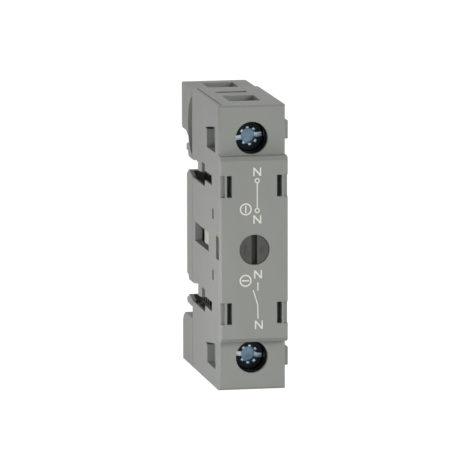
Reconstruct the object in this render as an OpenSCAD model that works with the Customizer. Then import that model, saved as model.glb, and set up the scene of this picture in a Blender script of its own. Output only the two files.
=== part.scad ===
// Additional switched pole for a rail-mounted switch disconnector.
// It stands on its lower end: X runs to the right, Y to the rear and Z up.
// The origin is on the lower end, in the middle of the width and of the whole depth.

/* [Housing] */
// Width of the pole, from its left face to its right face
pole_w = 17.5; // [17.2:0.1:18.5]
// Height from the lower end to the upper end
body_h = 74; // [72:0.5:80]
// How far the nose stands in front of the terminal faces
nose_out = 3.5; // [3:0.25:5]
// Height of the nose
nose_h = 48.2; // [46:0.2:48.4]
// Thickness of the shell's walls
wall = 1.5; // [1.2:0.1:1.6]
// Thickness of the front wall beside the screw access holes
front_t = 3.4; // [3:0.1:3.4]
// Thickness of the lip round a screw access hole
lip_t = 1.2; // [0.9:0.1:1.6]
// Thickness of the nose's front wall
nose_t = 1.8; // [1.5:0.1:2]
// Thickness of the side cover's rim
rim_t = 1; // [0.8:0.1:1.2]
// Thickness of the side cover inside its rim
cover_t = 1.9; // [1.7:0.1:1.9]
// Distance from the terminal faces to the rear edge of shell and cover
shell_d = 36; // [35.7:0.1:36.4]
// Edge chamfer of the mouldings
edge = 0.5; // [0.3:0.1:0.6]
// Chamfer on the upper and lower edges of the nose
nose_edge = 1; // [0.6:0.1:1.4]

/* [Nose] */
// Diameter of the hole around the position rotor
rotor_hole = 7.9; // [7.5:0.1:8.2]
// Width of the screwdriver slot in the rotor
rotor_slot = 1.5; // [1.2:0.1:1.8]
// Width of a latch slot
latch_w = 1.3; // [1:0.1:1.4]
// Height of a latch slot and of the recess beside it
latch_h = 5.65; // [5:0.05:6.5]
// Distance of the latch slots' centres above and below the rotor
latch_z = 16.5; // [15:0.5:18]
// Width and depth of the recess outside a latch slot
recess = 1.1; // [0.8:0.1:1.1]
// Depth of a latch slot behind the nose's face
slot_depth = 4.7; // [4.2:0.1:4.9]

/* [Terminals] */
// Distance from an end of the body to the axis of its terminal screw
screw_end = 8.5; // [8.3:0.1:9]
// Diameter of a screw access hole
access_d = 8.45; // [8.2:0.05:8.7]
// Diameter over the thread of a terminal screw
screw_d = 7.9; // [7.4:0.1:7.9]
// Length of a terminal screw
screw_l = 9; // [8:0.5:9.5]
// Distance from the terminal face to a screw's head
screw_in = 4.3; // [3.8:0.1:4.5]
// Turn of a terminal screw's slot from level, in degrees
slot_turn = 7; // [0:1:20]
// Distance from the terminal face to the rear of the threaded front wall
tunnel_front = 8.7; // [8.2:0.1:9]
// Distance from the terminal face to the terminal bar
tunnel_rear = 19.3; // [19:0.1:20]
// Width of the conductor tunnel
tunnel_w = 8.2; // [7.8:0.1:8.4]
// Height of a terminal frame
frame_h = 10.6; // [9.6:0.2:11]
// Sheet thickness of a terminal frame
frame_t = 1.5; // [1.2:0.1:1.6]
// Thickness of a terminal bar
bar_t = 1.6; // [1.4:0.1:1.8]
// Thickness of a pressure plate
plate_t = 1; // [0.8:0.1:1.2]

/* [Switch] */
// Travel of the contact carrier from ON to OFF
travel = 11; // [10:0.25:11]
// Turn of the rotor from ON to OFF, in degrees
turn = 90; // [88:1:92]
// Radius of the rotor's barrel
barrel_r = 3.2; // [3:0.05:3.3]
// Diameter of the follower pin
pin_d = 2; // [1.8:0.1:2.1]
// Height of a fixed contact's centre above or below the rotor axis
contact_z = 12.6; // [12.4:0.1:13]
// Diameter of a contact tip
tip_d = 4.6; // [4:0.2:4.8]
// Thickness of a contact tip
tip_t = 0.7; // [0.5:0.05:0.8]
// Width of the contact bridge
bridge_w = 6; // [5:0.2:6.2]
// Thickness of the contact bridge
bridge_t = 1.4; // [1.2:0.1:1.6]
// Length of the contact spring when the pole is ON
spring_l = 3.2; // [3:0.1:3.4]
// Number of steel plates in one arc chute
arc_plates = 4; // [3:1:4]
// Thickness of an arc plate
arc_t = 1; // [0.8:0.1:1.1]

/* [Side windows] */
// Length of the coupling window
window_l = 18.7; // [18.4:0.1:19]
// Height of the coupling window
window_h = 5; // [4.4:0.1:5.6]
// Distance from the terminal faces to the coupling window
window_d = 13.4; // [13.2:0.1:13.6]
// Length of the carrier's coupling boss
boss_l = 7.1; // [6.6:0.1:7.2]
// Height of a lug pocket at its rear end
pocket_h = 5.2; // [5:0.1:5.6]
// Length of a lug pocket
pocket_l = 10.8; // [10:0.2:11.2]
// Height of a side lug
lug_h = 4.75; // [4.4:0.05:5]
// How far a side lug stands out of the right face
lug_out = 1.9; // [1.6:0.1:2.2]

/* [Rail seat] */
// Height of the mounting rail over its two flanges
rail_h = 35; // [34.8:0.1:35.2]
// Thickness of the rail's flanges
rail_t = 1; // [1:0.1:1.2]
// Height of the rail's middle above the body's middle
rail_z = 0.4; // [0:0.1:0.8]
// Distance from the rear edge of shell and cover to the rail seat
base_t = 7.6; // [7.4:0.1:8]
// How far the upper block stands out behind the rail seat
rear_out = 7.5; // [7.2:0.1:9]
// Travel of the rail clip
clip_travel = 3; // [2.5:0.1:3]
// Width of the rail clip
clip_w = 8.4; // [7.6:0.2:8.6]
// Thickness of the rail clip
clip_t = 2; // [1.8:0.1:2.2]
// Wire diameter of the springs
wire_d = 0.5; // [0.4:0.05:0.55]

/* [Hidden] */
$fn = 48;

// Clearances
slack = 0.05;
running = 0.1;
loose = 0.3;
over = 1;
seam = 0.3;

// Faces of the housing
seat_d = shell_d + base_t;
body_d = seat_d + rear_out;
hw = pole_w / 2;
mid = body_h / 2;
in_l = cover_t - hw;
in_r = hw - wall;
term_z = body_h - screw_end;
nose_lo = mid - nose_h / 2;
nose_hi = mid + nose_h / 2;
nose_in = nose_t - nose_out;
slot_end = slot_depth - nose_out;
slot_x = hw - recess - 0.45 - latch_w / 2;

// Terminal stack, counted from the terminal faces to the rear
frame_front = front_t + running;
frame_rear = tunnel_rear + bar_t + frame_t;
frame_hw = tunnel_w / 2 + frame_t;
bar_rear = tunnel_rear + bar_t;
bar_hw = tunnel_w / 2 - running;
bar_in = mid + contact_z - tip_d / 2 - running;
floor_z = term_z - frame_h / 2 - running;
floor_t = 1.2;

// Contact stack
fixed_rear = bar_rear + tip_t;
moving_front = fixed_rear + slack;
bridge_front = moving_front + tip_t;
bridge_rear = bridge_front + bridge_t;
spring_rear = bridge_rear + spring_l;
carrier_rear = spring_rear + 1.6;
bridge_hz = contact_z + tip_d / 2;
carrier_hz = 6.2;
cheek_in = bridge_w / 2 + running;
cheek_out = cheek_in + 1.3;
spring_r = 2;

// Rotor stack
rotor_face = 0.4 - nose_out;
flange_front = nose_in + running;
flange_rear = flange_front + 1.5;
flange_r = rotor_hole / 2 + 1.2;
retainer_front = flange_rear + running;
retainer_rear = retainer_front + 1.2;
collar_front = retainer_rear + 0.5;
collar_l = 4.5;
collar_r = barrel_r + 1.8;
pin_at = collar_front + collar_l / 2;
groove_r = barrel_r - 1.4;
groove_w = pin_d + 0.5;
groove_lead = pin_d / 2 + 0.4;
barrel_rear = pin_at + travel + groove_lead + 0.4;
block_front = barrel_rear + 0.4;
block_rear = bridge_front - 0.8;

// Coupling window
window_lo = mid - 0.3 - window_h / 2;
boss_front = window_d;
boss_hz = 3.4;

// Lug pockets, seen from the left
pocket_d = 4.8;
vent_lip = 0.5;
pocket_z = [mid + 26.9, mid - 29.6];
vent_z = [mid + 13.5, mid - 19.5];
notch_z = [mid + 15.9, mid - 16.7];

// Arc chutes, measured from the rotor axis
chute_lo = bridge_hz + 0.6;
chute_front = bridge_front + 0.4;
chute_step = 2.6;
comb_t = 0.8;
chute_h = floor_z - floor_t - 0.8 - comb_t - mid - chute_lo;

// Rail seat
rail_mid = mid + rail_z;
flange_top = rail_mid + rail_h / 2;
flange_bottom = rail_mid - rail_h / 2;
grip_d = seat_d + rail_t + 0.2;
cheek_w = 3.6;
rim_front = 1.3;
upper_block = mid + 24.7;
lower_block = 12.9;
lower_d = body_d - 1.5;
neck_d = seat_d - 5.6;
clip_lo = 3.4;
clip_hi = flange_bottom + 1.4;
clip_front = grip_d + 0.1;
clip_step = 11.6;
spring_lo = 5.4;
base_inset = 0.3;

// A box between two opposite corners
module block(low, high) {
    translate(low)
        cube(high - low);
}

// A round bar along Y between two distances from the terminal faces
module rod(from, to, r) {
    translate([0, from, 0])
        rotate([-90, 0, 0])
            cylinder(h = to - from, r = r);
}

// A side outline of distance and height, extruded from one X to another
module side_profile(from, to) {
    translate([from, 0, 0])
        rotate([90, 0, 90])
            linear_extrude(to - from)
                children();
}

// A front outline of X and height, extruded from one distance to another
module front_profile(from, to) {
    translate([0, to, 0])
        rotate([90, 0, 0])
            linear_extrude(to - from)
                children();
}

// A rectangle whose corners are cut by a chamfer
module cut_corners(low, high, c) {
    polygon([
        [low.x + c, low.y], [high.x - c, low.y], [high.x, low.y + c], [high.x, high.y - c],
        [high.x - c, high.y], [low.x + c, high.y], [low.x, high.y - c], [low.x, low.y + c]
    ]);
}

// Moves a node from the terminal faces to the part's own origin
module placed() {
    translate([0, (nose_out - body_d) / 2, 0])
        children();
}

// Turns what is built at the upper end over to the lower end
module lower() {
    translate([0, 0, body_h])
        mirror([0, 0, 1])
            children();
}

// Both ends of what is built at the upper end
module both_ends() {
    children();
    lower()
        children();
}

// Outer form of shell and cover, with chamfered edges
module housing_form(left, right) {
    intersection() {
        side_profile(left, right)
            cut_corners([0, 0], [shell_d + over, body_h], edge);
        linear_extrude(body_h)
            cut_corners([-hw, 0], [hw, shell_d + over], edge);
        block([left - over, -over, -over], [right + over, shell_d, body_h + over]);
    }
}

// Raised nose, open to the shell behind it
module nose_form() {
    intersection() {
        side_profile(-hw, hw)
            polygon([
                [over, nose_lo], [over, nose_hi], [nose_edge - nose_out, nose_hi],
                [-nose_out, nose_hi - nose_edge], [-nose_out, nose_lo + nose_edge],
                [nose_edge - nose_out, nose_lo]
            ]);
        linear_extrude(body_h)
            cut_corners([-hw, -nose_out], [hw, over + edge], edge / 2);
    }
}

// Cavity of the shell: the mechanism space, the nose and the terminal spaces
module shell_cavity() {
    block([-hw - over, front_t, wall], [in_r, shell_d + over, body_h - wall]);
    block([-hw - over, rim_front, nose_lo + wall], [in_r, front_t + over, nose_hi - wall]);
    block([-hw + 1.2, nose_in, nose_lo + wall], [in_r, rim_front + over, nose_hi - wall]);
    block([-hw - over, rim_front, -over], [rim_t - hw, shell_d + over, body_h + over]);
}

// Slots in the nose and the shallow recesses outside them
module nose_slots() {
    for (side = [-1, 1], level = [-1, 1]) {
        z = mid + level * latch_z;
        x = side * slot_x;
        edge_x = side * (hw - recess / 2 + over / 2);
        block([x - latch_w / 2, -nose_out - over, z - latch_h / 2],
              [x + latch_w / 2, slot_end, z + latch_h / 2]);
        block([edge_x - (recess + over) / 2, -nose_out - over, z - latch_h / 2],
              [edge_x + (recess + over) / 2, recess - nose_out, z + latch_h / 2]);
    }
}

// Bosses behind the nose's front wall, which close the latch slots
module slot_bosses() {
    for (side = [0, 1], level = [-1, 1]) {
        z = mid + level * latch_z;
        mirror([side, 0, 0])
            block([slot_x - latch_w / 2 - 0.8, nose_in - 0.2, z - latch_h / 2 - 0.8],
                  [hw - rim_t - 0.15, slot_end + 0.7, z + latch_h / 2 + 0.8]);
    }
}

// Openings in the upper end: conductor tunnel, and a narrow slot undercut to the rear
module end_openings() {
    block([-tunnel_w / 2, tunnel_front, term_z + frame_h / 2], [tunnel_w / 2, tunnel_rear, body_h + over]);
    side_profile(-tunnel_w / 2 - 0.3, tunnel_w / 2 - 0.3)
        polygon([
            [24.9, body_h + over], [27.6, body_h + over], [27.6, body_h - 0.2],
            [29.6, body_h - wall - over], [24.9, body_h - wall - over]
        ]);
}

// Screw access hole: a thin lip with a wider bore behind it
module screw_access() {
    translate([0, 0, term_z]) {
        rod(-over, lip_t + slack, access_d / 2);
        rod(lip_t, front_t + over, access_d / 2 + 0.8);
    }
}

// Groove beside the cover's rim, where the seam shows on an end
module rim_groove() {
    block([rim_t - hw - over, rim_front, body_h - seam], [rim_t - hw + seam, shell_d + over, body_h + over]);
}

// Floor under a terminal, with the slot that its bar passes through
module terminal_floor() {
    difference() {
        block([in_l + running, front_t, floor_z - floor_t], [in_r + over / 2, shell_d, floor_z]);
        block([-bar_hw - running, tunnel_rear - running, floor_z - floor_t - over],
              [bar_hw + running, bar_rear + running, floor_z + over]);
    }
}

// Ribs that hold a terminal frame from above and from the right
module frame_ribs() {
    top = term_z + frame_h / 2 + running;
    for (x = [-frame_hw, frame_hw - 1])
        block([x, frame_front, top], [x + 1, frame_rear, body_h - wall / 2]);
    block([frame_hw + running, frame_front, term_z - 1], [in_r + wall / 2, frame_rear, term_z + 1]);
    block([-frame_hw, frame_rear + running, floor_z - over / 2], [in_r + wall / 2, frame_rear + 1.2, term_z]);
}

// Rib that guides the carrier's shoe above it
module guide_rib() {
    block([cheek_in + 0.4, retainer_rear + 0.4, mid + carrier_hz + loose],
          [in_r + wall / 2, shell_d - 1, mid + carrier_hz + loose + 1.4]);
}

// Post in the nose that carries the rotor retainer
module retainer_post() {
    block([-5, nose_in - 0.2, mid + 6.9], [5, retainer_front, mid + 8.4]);
}

// Lug on the right face that enters the next device
module side_lug() {
    z = body_h - 7.4;
    side_profile(hw - 0.2, hw + lug_out)
        cut_corners([6, z - lug_h / 2], [10, z + lug_h / 2], 0.3);
}

module front_shell() {
    color([0.57, 0.585, 0.565])
        placed()
            difference() {
                union() {
                    difference() {
                        union() {
                            housing_form(-hw, hw);
                            nose_form();
                        }
                        shell_cavity();
                    }
                    slot_bosses();
                    both_ends() {
                        terminal_floor();
                        frame_ribs();
                        guide_rib();
                        retainer_post();
                        latch_arm();
                        side_lug();
                    }
                }
                nose_slots();
                both_ends() {
                    end_openings();
                    screw_access();
                    rim_groove();
                }
                translate([0, 0, mid])
                    rod(-nose_out - over, nose_in + over, rotor_hole / 2);
                edge_slot();
            }
}

// Slot across the seam at the front left edge, open to the nose behind it
module edge_slot() {
    block([-hw - over, -0.4, mid - 3], [2.5 - hw, 3.3, mid + 3]);
}

// Arm of the shell whose end shows in a small window of the cover
module latch_arm() {
    block([1.2 - hw, 6.8, mid + 6.9], [in_r + wall / 2, 8.4, mid + 9]);
}

// Outline of a vent slot over an arc chute, with its tail in the base
module vent_outline(z) {
    polygon([
        [9, z + 1.7], [18.4, z + 1.7], [18.4, z], [shell_d - 1, z], [seat_d - 2.9, z + 1.35],
        [seat_d - 2.9, z + 2], [22.8, z + 3.2], [22.8, z + 5.9], [18.4, z + 5.9], [18.4, z + 4.2],
        [9, z + 4.2]
    ]);
}

// Vent slot from the left face to one X
module vent_slot(z, inner) {
    side_profile(-hw - over, inner)
        vent_outline(z);
}

// Outline of a lug pocket, whose upper edge rises to the front
module pocket_outline(z) {
    rear = pocket_d + pocket_l;
    polygon([
        [pocket_d - 0.5, z - pocket_h / 2], [rear, z - pocket_h / 2], [rear, z + pocket_h / 2 - 0.6],
        [rear + 2, z + pocket_h / 2 - 0.25], [pocket_d - 0.5, z + pocket_h / 2 + 1.6]
    ]);
}

// Cup around a lug pocket, a closed recess in the side cover
module pocket_cup(z) {
    block([-hw + rim_t / 2, front_t + 2 * running, z - pocket_h / 2 - 0.8],
          [in_l + 0.8, pocket_d + pocket_l + 2.8, z + pocket_h / 2 + 2.4]);
}

module side_cover() {
    color([0.6, 0.6, 0.58])
        placed()
            difference() {
                union() {
                    intersection() {
                        housing_form(-hw, rim_t - hw);
                        block([-hw - over, rim_front + running, -over], [hw, shell_d, body_h + over]);
                    }
                    block([rim_t - hw - over / 2, front_t + running, wall + running],
                          [in_l, shell_d, body_h - wall - running]);
                    for (z = pocket_z)
                        pocket_cup(z);
                }
                for (z = pocket_z)
                    side_profile(-hw - over, in_l)
                        pocket_outline(z);
                for (z = vent_z) {
                    vent_slot(z, in_l + over);
                    side_profile(vent_lip - hw, in_l + over)
                        translate([0, -1])
                            vent_outline(z);
                }
                block([-hw - over, window_d, window_lo], [in_l + over, window_d + window_l, window_lo + window_h]);
                for (level = [-1, 1])
                    block([-hw - over, 6.6, mid + level * 7.95 - 1.3], [in_l + over, 8.6, mid + level * 7.95 + 1.3]);
                edge_slot();
                rear_notches();
            }
}

// Notches at the left rear edge, level with the rail's flanges
module rear_notches() {
    for (z = notch_z)
        side_profile(-hw - over, cheek_w - hw)
            polygon([
                [28, z], [28, z + 3.1], [34, z + 2.3], [seat_d + over, z + 2.2],
                [seat_d + over, z - 3], [seat_d - 2.9, z - 1.1]
            ]);
}

// Left cheek of the base: the outline seen from the left, before its notches are cut
module left_cheek() {
    side_profile(-hw, cheek_w - hw)
        polygon([
            [shell_d, 0], [lower_d, 0], [lower_d, lower_block - 2.4], [lower_d - 1.2, lower_block - 1],
            [lower_d - 3.3, lower_block], [neck_d, lower_block], [neck_d, mid - 21],
            [seat_d - 0.9, mid - 20.8], [seat_d, mid - 20.2], [seat_d, mid - 19.6],
            [seat_d - 2.2, mid - 18.9], [neck_d + 0.7, mid - 17.6], [neck_d, mid - 16.7],
            [neck_d, mid - 14.7], [seat_d - 3.1, mid - 14.6], [seat_d - 1.9, mid - 13.3], [seat_d, mid - 13],
            [seat_d, mid + 13], [seat_d - 0.5, mid + 13.8], [seat_d - 2.9, mid + 14.9],
            [neck_d, mid + 15.4], [neck_d, mid + 18.2], [seat_d - 2.4, mid + 18.3],
            [seat_d - 1.3, mid + 19.7], [seat_d + 0.5, mid + 19.7], [seat_d + 0.5, mid + 21.2],
            [seat_d - 2.8, mid + 22], [seat_d - 2.3, mid + 23.5], [seat_d + 0.3, upper_block - 0.3],
            [seat_d + 1.6, upper_block], [body_d - 1.2, upper_block], [body_d, upper_block + 1.2],
            [body_d, body_h - base_inset], [shell_d, body_h - base_inset]
        ]);
}

// Gap between the lower block and the small nose above it
module cheek_gap() {
    block([-hw - over, shell_d - over, lower_block], [2.6 - hw, body_d, mid - 21]);
}

// Main part of the base: rail seat, upper hook and the blocks above and below
module seat_form() {
    side_profile(cheek_w - hw - over / 2, hw - base_inset)
        polygon([
            [shell_d, 0], [lower_d, 0], [lower_d, lower_block - 2.4], [lower_d - 3.3, lower_block],
            [seat_d, lower_block], [seat_d, flange_top + 0.3], [grip_d, flange_top + 0.3],
            [grip_d, flange_top - 1.4], [grip_d + 0.8, flange_top - 1.8], [grip_d + 2.4, flange_top - 0.6],
            [grip_d + 2.4, upper_block], [body_d - 1.2, upper_block], [body_d, upper_block + 1.2],
            [body_d, body_h - base_inset], [shell_d, body_h - base_inset]
        ]);
}

// Channel of the rail clip in the lower block, open below for a screwdriver
module clip_channel() {
    block([-clip_w / 2 - running, clip_front - running, -over],
          [clip_w / 2 + running, clip_front + clip_t + running, flange_bottom + over]);
}

// Ledge under the rail clip's spring
module spring_ledge() {
    block([-2, clip_front - 2 * running, spring_lo - 1], [2, clip_front + clip_t, spring_lo]);
}

// Hollows behind the arc chutes that keep the base's walls even
module core_pockets() {
    for (z = [[wall + 13.5, mid - 9], [mid + 9, upper_block - 1]])
        block([cheek_w - hw + 0.6, shell_d - over, z[0]], [in_r - loose, seat_d - 1.8, z[1]]);
}

module rear_base() {
    color([0.59, 0.595, 0.575])
        placed() {
            difference() {
                intersection() {
                    union() {
                        left_cheek();
                        seat_form();
                    }
                    linear_extrude(body_h)
                        cut_corners([-hw, 0], [hw - base_inset, body_d], edge);
                }
                seam_groove();
                rear_notches();
                for (z = vent_z)
                    vent_slot(z, cheek_w - hw);
                cheek_hollows();
                cheek_gap();
                crescent_cut();
                carrier_pocket();
                core_pockets();
                clip_channel();
                block([-tunnel_w / 2, shell_d + 0.8, upper_block + 2], [tunnel_w / 2, body_d - 4.1, body_h + over]);
            }
            spring_ledge();
        }
}

// Round cut in the left wall behind the cover's rear edge
module crescent_cut() {
    cut_r = 8.1;
    translate([-hw - over, seat_d - 1.6 - cut_r, mid + 27])
        rotate([0, 90, 0])
            cylinder(h = 3 + over, r = cut_r);
}

// Hollows behind the left cheek, under the tails of the vent slots
module cheek_hollows() {
    for (z = [[mid + 9.5, mid + 14.5], [mid - 20.4, mid - 18.4]])
        block([1 - hw, shell_d - over, z[0]], [cheek_w + 1.2 - hw, seat_d - 3.2, z[1]]);
}

// Narrow groove round the base's front edge, the seam seen from outside
module seam_groove() {
    difference() {
        block([-hw - over, shell_d - over, -over], [hw + over, shell_d + seam, body_h + over]);
        block([seam - hw, shell_d - 2 * over, seam],
              [hw - base_inset - seam, shell_d + over, body_h - base_inset - seam]);
    }
}

// Room for the carrier's rear wall when the pole is OFF
module carrier_pocket() {
    block([-cheek_out - loose, shell_d - over, mid - carrier_hz - loose],
          [cheek_out + loose, carrier_rear + travel + loose, mid + carrier_hz + loose]);
}

// Rotor: face with its slot, retaining flange and barrel with the helical groove
module position_rotor() {
    rate = turn / travel;
    groove_front = pin_at - groove_lead;
    groove_l = barrel_rear + over - groove_front;
    color([0.26, 0.255, 0.25])
        placed()
            translate([0, 0, mid])
                difference() {
                    union() {
                        rod(rotor_face, flange_front + slack, rotor_hole / 2 - running);
                        rod(flange_front, flange_rear, flange_r);
                        rod(flange_rear - slack, barrel_rear, barrel_r);
                    }
                    block([-rotor_slot / 2, rotor_face - over, -rotor_hole / 2],
                          [rotor_slot / 2, rotor_face + 2, rotor_hole / 2]);
                    translate([0, groove_front, 0])
                        rotate([-90, 0, 0])
                            rotate([0, 0, -groove_lead * rate])
                                linear_extrude(height = groove_l, twist = -groove_l * rate, slices = 36)
                                    translate([-groove_w / 2, -barrel_r - over])
                                        square([groove_w, barrel_r + over - groove_r]);
                }
}

// Plate that holds the rotor's flange against the nose
module rotor_retainer() {
    color([0.75, 0.74, 0.7])
        placed()
            difference() {
                front_profile(retainer_front, retainer_rear)
                    cut_corners([-5.6, mid - 8.2], [5.6, mid + 8.2], 1);
                translate([0, 0, mid])
                    rod(retainer_front - over, retainer_rear + over, barrel_r + running);
            }
}

// Carrier: collar on the rotor's barrel, arms, coupling boss, shoe and bridge window
module contact_carrier() {
    color([0.83, 0.8, 0.68])
        placed()
            translate([0, 0, mid])
                difference() {
                    union() {
                        rod(collar_front, collar_front + collar_l, collar_r);
                        for (level = [-1, 1]) {
                            z = level * (barrel_r + 0.4 + carrier_hz) / 2;
                            t = (carrier_hz - barrel_r - 0.4) / 2;
                            block([-3.4, collar_front, z - t], [3.4, block_rear, z + t]);
                        }
                        block([-3.4, block_front, -carrier_hz], [cheek_out, block_rear, carrier_hz]);
                        block([cheek_in, block_front, -carrier_hz], [in_r - loose, block_rear, carrier_hz]);
                        coupling_boss();
                        drive_block();
                        for (side = [-1, 1]) {
                            x = side * (cheek_in + cheek_out) / 2;
                            t = (cheek_out - cheek_in) / 2;
                            block([x - t, block_rear - over, -carrier_hz], [x + t, carrier_rear, carrier_hz]);
                        }
                        block([-cheek_out, spring_rear, -carrier_hz], [cheek_out, carrier_rear, carrier_hz]);
                        rod(spring_rear - 1.2, spring_rear + slack, spring_r - wire_d - running);
                    }
                    rod(collar_front - over, block_front - slack, barrel_r + running);
                    translate([0, pin_at, 0])
                        cylinder(h = carrier_hz + over, d = pin_d + 2 * slack);
                }
}

// Boss behind the side window, with a rounded top
module coupling_boss() {
    side_profile(in_l + loose, -barrel_r - running) {
        translate([boss_front, -boss_hz])
            square([boss_l, 2 * boss_hz - boss_l / 2]);
        translate([boss_front + boss_l / 2, boss_hz - boss_l / 2])
            circle(d = boss_l);
    }
}

// Block of the boss that fills the front of the side window
module drive_block() {
    block([loose - hw, boss_front + loose, 1.1 - window_h / 2],
          [in_l + loose + slack, boss_front + boss_l, window_h / 2 - 0.5]);
}

module follower_pin() {
    color([0.7, 0.71, 0.73])
        placed()
            translate([0, pin_at, mid + groove_r + 0.15])
                cylinder(h = collar_r - groove_r - 0.15, d = pin_d);
}

module contact_bridge() {
    color([0.78, 0.49, 0.33])
        placed()
            front_profile(bridge_front, bridge_rear)
                cut_corners([-bridge_w / 2, mid - bridge_hz], [bridge_w / 2, mid + bridge_hz], 1);
}

// Helical wire around Z, swept as one closed solid
module coil(r, wire, turns, length) {
    sides = 8;
    per_turn = 18;
    rings = turns * per_turn;
    points = [
        for (i = [0 : rings], k = [0 : sides - 1])
            let (a = 360 * i / per_turn, b = 360 * k / sides, rad = r + wire / 2 * cos(b))
                [rad * cos(a), rad * sin(a), wire / 2 + (length - wire) * i / rings + wire / 2 * sin(b)]
    ];
    side_faces = [
        for (i = [0 : rings - 1], k = [0 : sides - 1])
            let (n = (k + 1) % sides)
                [i * sides + k, i * sides + n, (i + 1) * sides + n, (i + 1) * sides + k]
    ];
    first = [for (k = [sides - 1 : -1 : 0]) k];
    last = [for (k = [0 : sides - 1]) rings * sides + k];
    polyhedron(points, concat([first], side_faces, [last]));
}

module contact_spring() {
    color([0.72, 0.73, 0.75])
        placed()
            translate([0, bridge_rear + slack, mid])
                rotate([-90, 0, 0])
                    coil(spring_r - wire_d / 2, wire_d, 4, spring_l - 2 * slack);
}

// Contact tip at the upper end of bar or bridge
module tip(from) {
    color([0.85, 0.85, 0.86])
        placed()
            translate([0, 0, mid + contact_z])
                rod(from, from + tip_t, tip_d / 2);
}

module terminal_bar() {
    color([0.8, 0.5, 0.33])
        placed()
            block([-bar_hw, tunnel_rear, bar_in], [bar_hw, bar_rear, term_z + frame_h / 2]);
}

// Steel tunnel around the conductor, with a threaded front wall
module terminal_frame() {
    color([0.66, 0.67, 0.69])
        placed()
            translate([0, 0, term_z])
                difference() {
                    linear_extrude(frame_h, center = true)
                        cut_corners([-frame_hw, frame_front], [frame_hw, frame_rear], 0.6);
                    block([-tunnel_w / 2, tunnel_front, -frame_h], [tunnel_w / 2, bar_rear, frame_h]);
                    rod(frame_front - over, tunnel_front + over, screw_d / 2 + slack);
                }
}

// Terminal screw: threaded body with a slot and a cross recess, and a neck for its plate
module terminal_screw() {
    screw_rear = screw_in + screw_l;
    color([0.62, 0.66, 0.69])
        placed()
            translate([0, 0, term_z])
                difference() {
                    union() {
                        rod(screw_in, screw_rear, screw_d / 2);
                        rod(screw_rear - slack, screw_rear + plate_t, 1.6);
                    }
                    rotate([0, -slot_turn, 0])
                        block([-screw_d, screw_in - over, -0.6], [screw_d, screw_in + 1.6, 0.6]);
                    rod(screw_in - over, screw_in + 1, 2);
                    for (a = [0 : 45 : 135])
                        rotate([0, a - slot_turn, 0])
                            block([-2.4, screw_in - over, -0.5], [2.4, screw_in + 1.9, 0.5]);
                }
}

module pressure_plate() {
    plate_front = screw_in + screw_l + slack;
    color([0.7, 0.71, 0.72])
        placed()
            translate([0, 0, term_z])
                difference() {
                    front_profile(plate_front, plate_front + plate_t)
                        cut_corners([-tunnel_w / 2 + loose, -4.2], [tunnel_w / 2 - loose, 4.2], 1);
                    rod(plate_front - over, plate_front + plate_t + over, 1.6 + slack);
                }
}

// Row of steel plates beyond the upper end of the bridge
module arc_plate_row() {
    color([0.55, 0.55, 0.56])
        placed()
            for (i = [0 : arc_plates - 1]) {
                d = chute_front + chute_step * i + 1;
                block([in_l + loose, d, mid + chute_lo], [in_r - running, d + arc_t, mid + chute_lo + chute_h]);
            }
}

// Comb of fibre that holds the arc plates from above
module arc_chute() {
    top = mid + chute_lo + chute_h;
    color([0.5, 0.42, 0.3])
        placed()
            difference() {
                block([in_l + loose, chute_front, top - 1.5],
                      [in_r - running, chute_front + chute_step * arc_plates + 0.6, top + comb_t]);
                for (i = [0 : arc_plates - 1]) {
                    d = chute_front + chute_step * i + 1;
                    block([in_l, d - slack, top - 1.5 - over], [in_r, d + arc_t + slack, top + slack]);
                }
            }
}

// Sprung clip that grips the lower flange of the rail
module rail_clip() {
    color([0.5, 0.51, 0.5])
        placed()
            difference() {
                side_profile(-clip_w / 2, clip_w / 2)
                    polygon([
                        [clip_front, clip_lo], [clip_front + clip_t, clip_lo],
                        [clip_front + clip_t, clip_hi - 1.6], [clip_front + 0.6, clip_hi],
                        [clip_front, clip_hi - 0.4]
                    ]);
                block([-2.6, clip_front - over, clip_lo + 1], [2.6, clip_front + clip_t + over, clip_step]);
            }
}

module rail_clip_spring() {
    color([0.72, 0.73, 0.75])
        placed()
            translate([0, clip_front + clip_t / 2, spring_lo])
                coil(0.75, wire_d, 4, clip_step - spring_lo - slack);
}

front_shell();
side_cover();
rear_base();
position_rotor();
rotor_retainer();
contact_carrier();
follower_pin();
contact_bridge();
contact_spring();
tip(moving_front);  // upper_moving_tip
lower() tip(moving_front);  // lower_moving_tip
tip(bar_rear);  // upper_fixed_tip
lower() tip(bar_rear);  // lower_fixed_tip
terminal_bar();  // upper_terminal_bar
lower() terminal_bar();  // lower_terminal_bar
terminal_frame();  // upper_terminal_frame
lower() terminal_frame();  // lower_terminal_frame
terminal_screw();  // upper_terminal_screw
lower() terminal_screw();  // lower_terminal_screw
pressure_plate();  // upper_pressure_plate
lower() pressure_plate();  // lower_pressure_plate
arc_plate_row();  // upper_arc_plates
lower() arc_plate_row();  // lower_arc_plates
arc_chute();  // upper_arc_chute
lower() arc_chute();  // lower_arc_chute
rail_clip();
rail_clip_spring();
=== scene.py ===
"""Looks of an additional switch pole, dressed over its packed construction.

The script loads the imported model, gives each of its nodes a finish, and adds the circuit marks
on the nose, the threaded terminal screws with their combined recess, the raised words on the
position rotor and the wound springs. Sizes are in metres, in the frame of the part: X to the
right, Y to the rear and Z up, with the origin on the lower end.
"""

from __future__ import annotations

import logging
import math
from dataclasses import dataclass, field
from enum import Enum
from typing import Callable, Iterable, Sequence

import bmesh
import bpy
from mathutils import Matrix, Vector

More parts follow.
